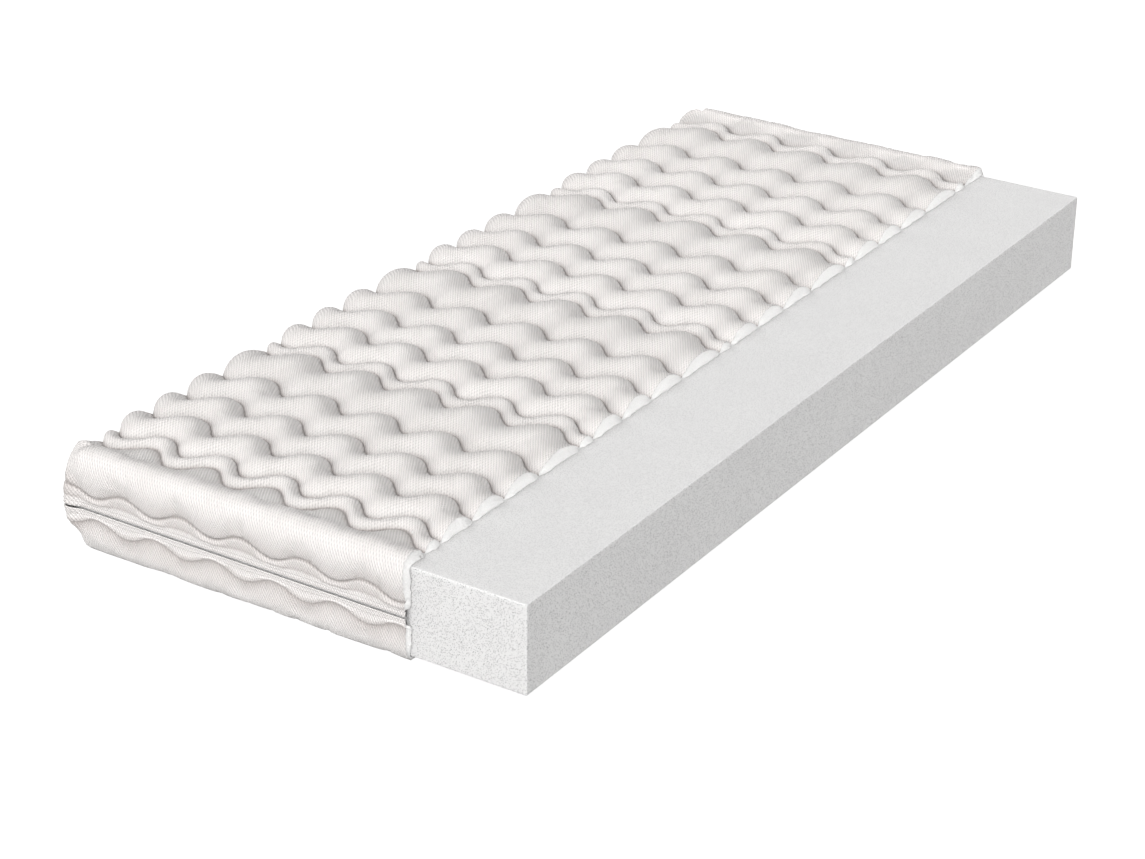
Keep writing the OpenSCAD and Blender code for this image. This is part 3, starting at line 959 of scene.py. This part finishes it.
def foam():
    """Cut foam: open pores on the sawn sides and a smoother top; the sides' darker grey is partly their pores
    and partly painted shade.
    """
    mat, tree, shader = surface("foam", 0.86)
    place = object_place(tree)
    facing = tree.nodes.new("ShaderNodeSeparateXYZ")
    tree.links.new(tree.nodes.new("ShaderNodeNewGeometry").outputs["Normal"], facing.inputs[0])
    is_top = ramp(tree, facing.outputs[2], (0.6, 0.0), (0.8, 1.0))
    pores = cells(tree, place, 420.0)
    holes = ramp(tree, pores, (0.12, 0.0), (0.42, 1.0))
    patches = ramp(tree, noise(tree, place, 260.0, 4.0), (0.43, 0.0), (0.64, 0.9))
    depth = math_node(tree, "MAXIMUM", holes, patches)
    smoothed = math_node(tree, "MAXIMUM", depth, math_node(tree, "MULTIPLY", is_top, 0.75))
    speckle = ramp(tree, smoothed, (0.0, (0.3, 0.3, 0.31)), (1.0, 1.0))
    broad = ramp(tree, noise(tree, place, 7.0, 2.0), (0.3, (0.972, 0.97, 0.972)), (0.7, 1.0))
    # sides darker than the top, chosen by the way the surface faces: partly their open pores, partly painted
    # shade
    side_shade_and_skin = ramp(tree, is_top, (0.0, FOAM_SIDE_PORES_AND_SHADE), (1.0, FOAM_SKIN))
    tree.links.new(tinted(tree, tinted(tree, side_shade_and_skin, speckle), broad), shader.inputs["Base Color"])
    fine = math_node(tree, "ADD", smoothed, math_node(tree, "MULTIPLY", noise(tree, place, 900.0), 0.35))
    raised(tree, shader, fine, 0.5 * MM)
    return mat


def thread():
    """Twisted polyester thread."""
    mat, tree, shader = surface("thread", 0.6, sheen_weight=0.2)
    twist = noise(tree, object_place(tree), 1500.0, 1.0)
    colour = ramp(tree, twist, (0.35, (0.42, 0.40, 0.39)), (0.65, (0.60, 0.58, 0.57)))
    tree.links.new(colour, shader.inputs["Base Color"])
    raised(tree, shader, twist, 0.2 * MM)
    return mat


def tape():
    """Herringbone tape."""
    mat, tree, shader = surface("zip_tape", 0.8)
    along, across = panel_place(tree)
    slant = math_node(tree, "ADD", along, math_node(tree, "PINGPONG", across, 3 * MM))
    weave = wave_of(tree, slant, 1.1 * MM)
    colour = ramp(tree, math_node(tree, "MULTIPLY_ADD", weave, 0.5, 0.5), (0.0, 0.62), (1.0, 0.76))
    tree.links.new(colour, shader.inputs["Base Color"])
    raised(tree, shader, weave, 0.15 * MM)
    return mat


def nylon():
    """Smooth nylon coil."""
    mat, tree, shader = surface("zip_coil", 0.38, coat_weight=0.15)
    wear = noise(tree, object_place(tree), 60.0)
    tree.links.new(ramp(tree, wear, (0.3, 0.52), (0.7, 0.60)), shader.inputs["Base Color"])
    raised(tree, shader, noise(tree, object_place(tree), 500.0), 0.05 * MM)
    return mat


def metal():
    """Nickel-plated zinc, polished by handling."""
    mat, tree, shader = surface("zip_metal", 0.3, metallic=1.0)
    place = object_place(tree)
    rub = noise(tree, place, 350.0, 4.0)
    colour = ramp(tree, rub, (0.3, (0.56, 0.56, 0.55)), (0.7, (0.70, 0.70, 0.68)))
    tree.links.new(colour, shader.inputs["Base Color"])
    tree.links.new(ramp(tree, rub, (0.3, 0.42), (0.7, 0.24)), shader.inputs["Roughness"])
    raised(tree, shader, rub, 0.03 * MM)
    return mat


# ---- camera and light ----

def camera():
    """Camera at the photograph's viewing angle."""
    azimuth, elevation, roll = math.radians(32.67), math.radians(26.0), math.radians(0.54)
    offset = Vector((1.935, -2.899, 2.140))
    corner = Vector((FOAM_HI.x, FOAM_LO.y, FOAM_LO.z))
    level = math.cos(elevation)
    back = Vector((math.sin(azimuth) * level, -math.cos(azimuth) * level, math.sin(elevation)))
    data = bpy.data.cameras.new("camera")
    data.lens = 86.62
    data.sensor_width = 36
    data.clip_start = 0.05
    data.clip_end = 100
    cam = bpy.data.objects.new("camera", data)
    cam.location = corner + offset
    right = (-back).cross(Vector((0, 0, 1))).normalized()
    up = right.cross(-back)
    turned_right = right * math.cos(roll) + up * math.sin(roll)
    turned_up = up * math.cos(roll) - right * math.sin(roll)
    cam.rotation_mode = "QUATERNION"
    cam.rotation_quaternion = Matrix((turned_right, turned_up, back)).transposed().to_quaternion()
    bpy.context.scene.collection.objects.link(cam)
    bpy.context.scene.camera = cam


def sun(name, direction, height, power):
    """A soft sun that shines from a direction and a height, both in degrees."""
    data = bpy.data.lights.new(name, "SUN")
    data.energy = power
    data.angle = math.radians(SUN_SPREAD)
    data.color = (1, 0.99, 0.98)
    obj = bpy.data.objects.new(name, data)
    a, h = math.radians(direction), math.radians(height)
    obj.location = Vector((math.cos(a) * math.cos(h), math.sin(a) * math.cos(h), math.sin(h))) * SUN_AWAY
    obj.rotation_mode = "QUATERNION"
    obj.rotation_quaternion = obj.location.to_track_quat("Z", "Y")
    bpy.context.scene.collection.objects.link(obj)


def studio():
    """Pale floor, even light all round and soft low suns from the front and the sides."""
    scene = bpy.context.scene
    scene.view_settings.view_transform = "Standard"
    world = bpy.data.worlds.new("studio")
    world.use_nodes = True
    tree = world.node_tree
    upward = tree.nodes.new("ShaderNodeSeparateXYZ")
    tree.links.new(tree.nodes.new("ShaderNodeTexCoord").outputs["Generated"], upward.inputs[0])
    rise = math_node(tree, "MULTIPLY_ADD", upward.outputs[2], 0.5, 0.5)
    glow = ramp(tree, rise, (0.42, SKY_BELOW), (0.58, SKY))
    tree.links.new(glow, tree.nodes["Background"].inputs["Color"])
    scene.world = world
    mesh = bpy.data.meshes.new("floor")
    corners = [(x * FLOOR_HALF, y * FLOOR_HALF, 0) for x, y in ((-1, -1), (1, -1), (1, 1), (-1, 1))]
    mesh.from_pydata(corners, [], [(0, 1, 2, 3)])
    floor = bpy.data.objects.new("floor", mesh)
    scene.collection.objects.link(floor)
    mat, tree, shader = surface("floor", 0.9, emission_color=(1, 1, 1, 1), emission_strength=FLOOR_GLOW)
    shader.inputs["Base Color"].default_value = (0.3, 0.3, 0.3, 1)
    mesh.materials.append(mat)
    floor.visible_diffuse = False
    for name, setting in SUNS.items():
        sun(name, *setting)


# ---- colours, pitches and light ----
KNIT_WHITE = (0.86, 0.835, 0.825)
RIB_PITCH = 5.2 * MM
STITCH_PITCH = 8.1 * MM
# foam greys for the sides and the top: the sides' darker grey is partly open pores, partly painted shade
FOAM_SIDE_PORES_AND_SHADE = (0.77, 0.77, 0.77)
FOAM_SKIN = (0.905, 0.905, 0.905)
SKY = 0.33
SKY_BELOW = 0.1
FLOOR_GLOW = 0.92
FLOOR_HALF = 20                 # half the side of the floor, metres
SUN_SPREAD = 60                 # softness of the suns, degrees
SUN_AWAY = 4
# soft suns: direction in degrees round the mattress from +X, height in degrees, power
SUNS = {"key": (283, 24, 2.2), "side": (215, 28, 1.15), "low": (345, 10, 1.55)}

camera()
studio()
cloth, fluff, lining, sewing = knit(), fibre(), nonwoven(), thread()
tape_mat, coil_mat, metal_mat = tape(), nylon(), metal()
foam_block(foam())
for side in (1, -1):
    outside = Half(side)
    inside = Half(side, flat_step=12 * MM, inner=True)
    quilted_fabric(outside, cloth)
    wadding(inside, fluff)
    backing(inside, lining)
    quilt_stitches(outside, sewing)
    end_stitches(outside, sewing)
    corner_stitches(outside, sewing)
    zip_stitches(outside, sewing)
    woven_tape(outside, tape_mat)
    nylon_coil(outside, coil_mat)
    broken_edges(outside.name + "_zip_stops", outside.name + "_stop_clips", outside.body, metal_mat, 0.2 * MM)
broken_edges("zip_slider_body", "slider", "zip_slider", metal_mat, 0.25 * MM)
broken_edges("zip_pull", "pull_tab", "zip_pull", metal_mat, 0.2 * MM)
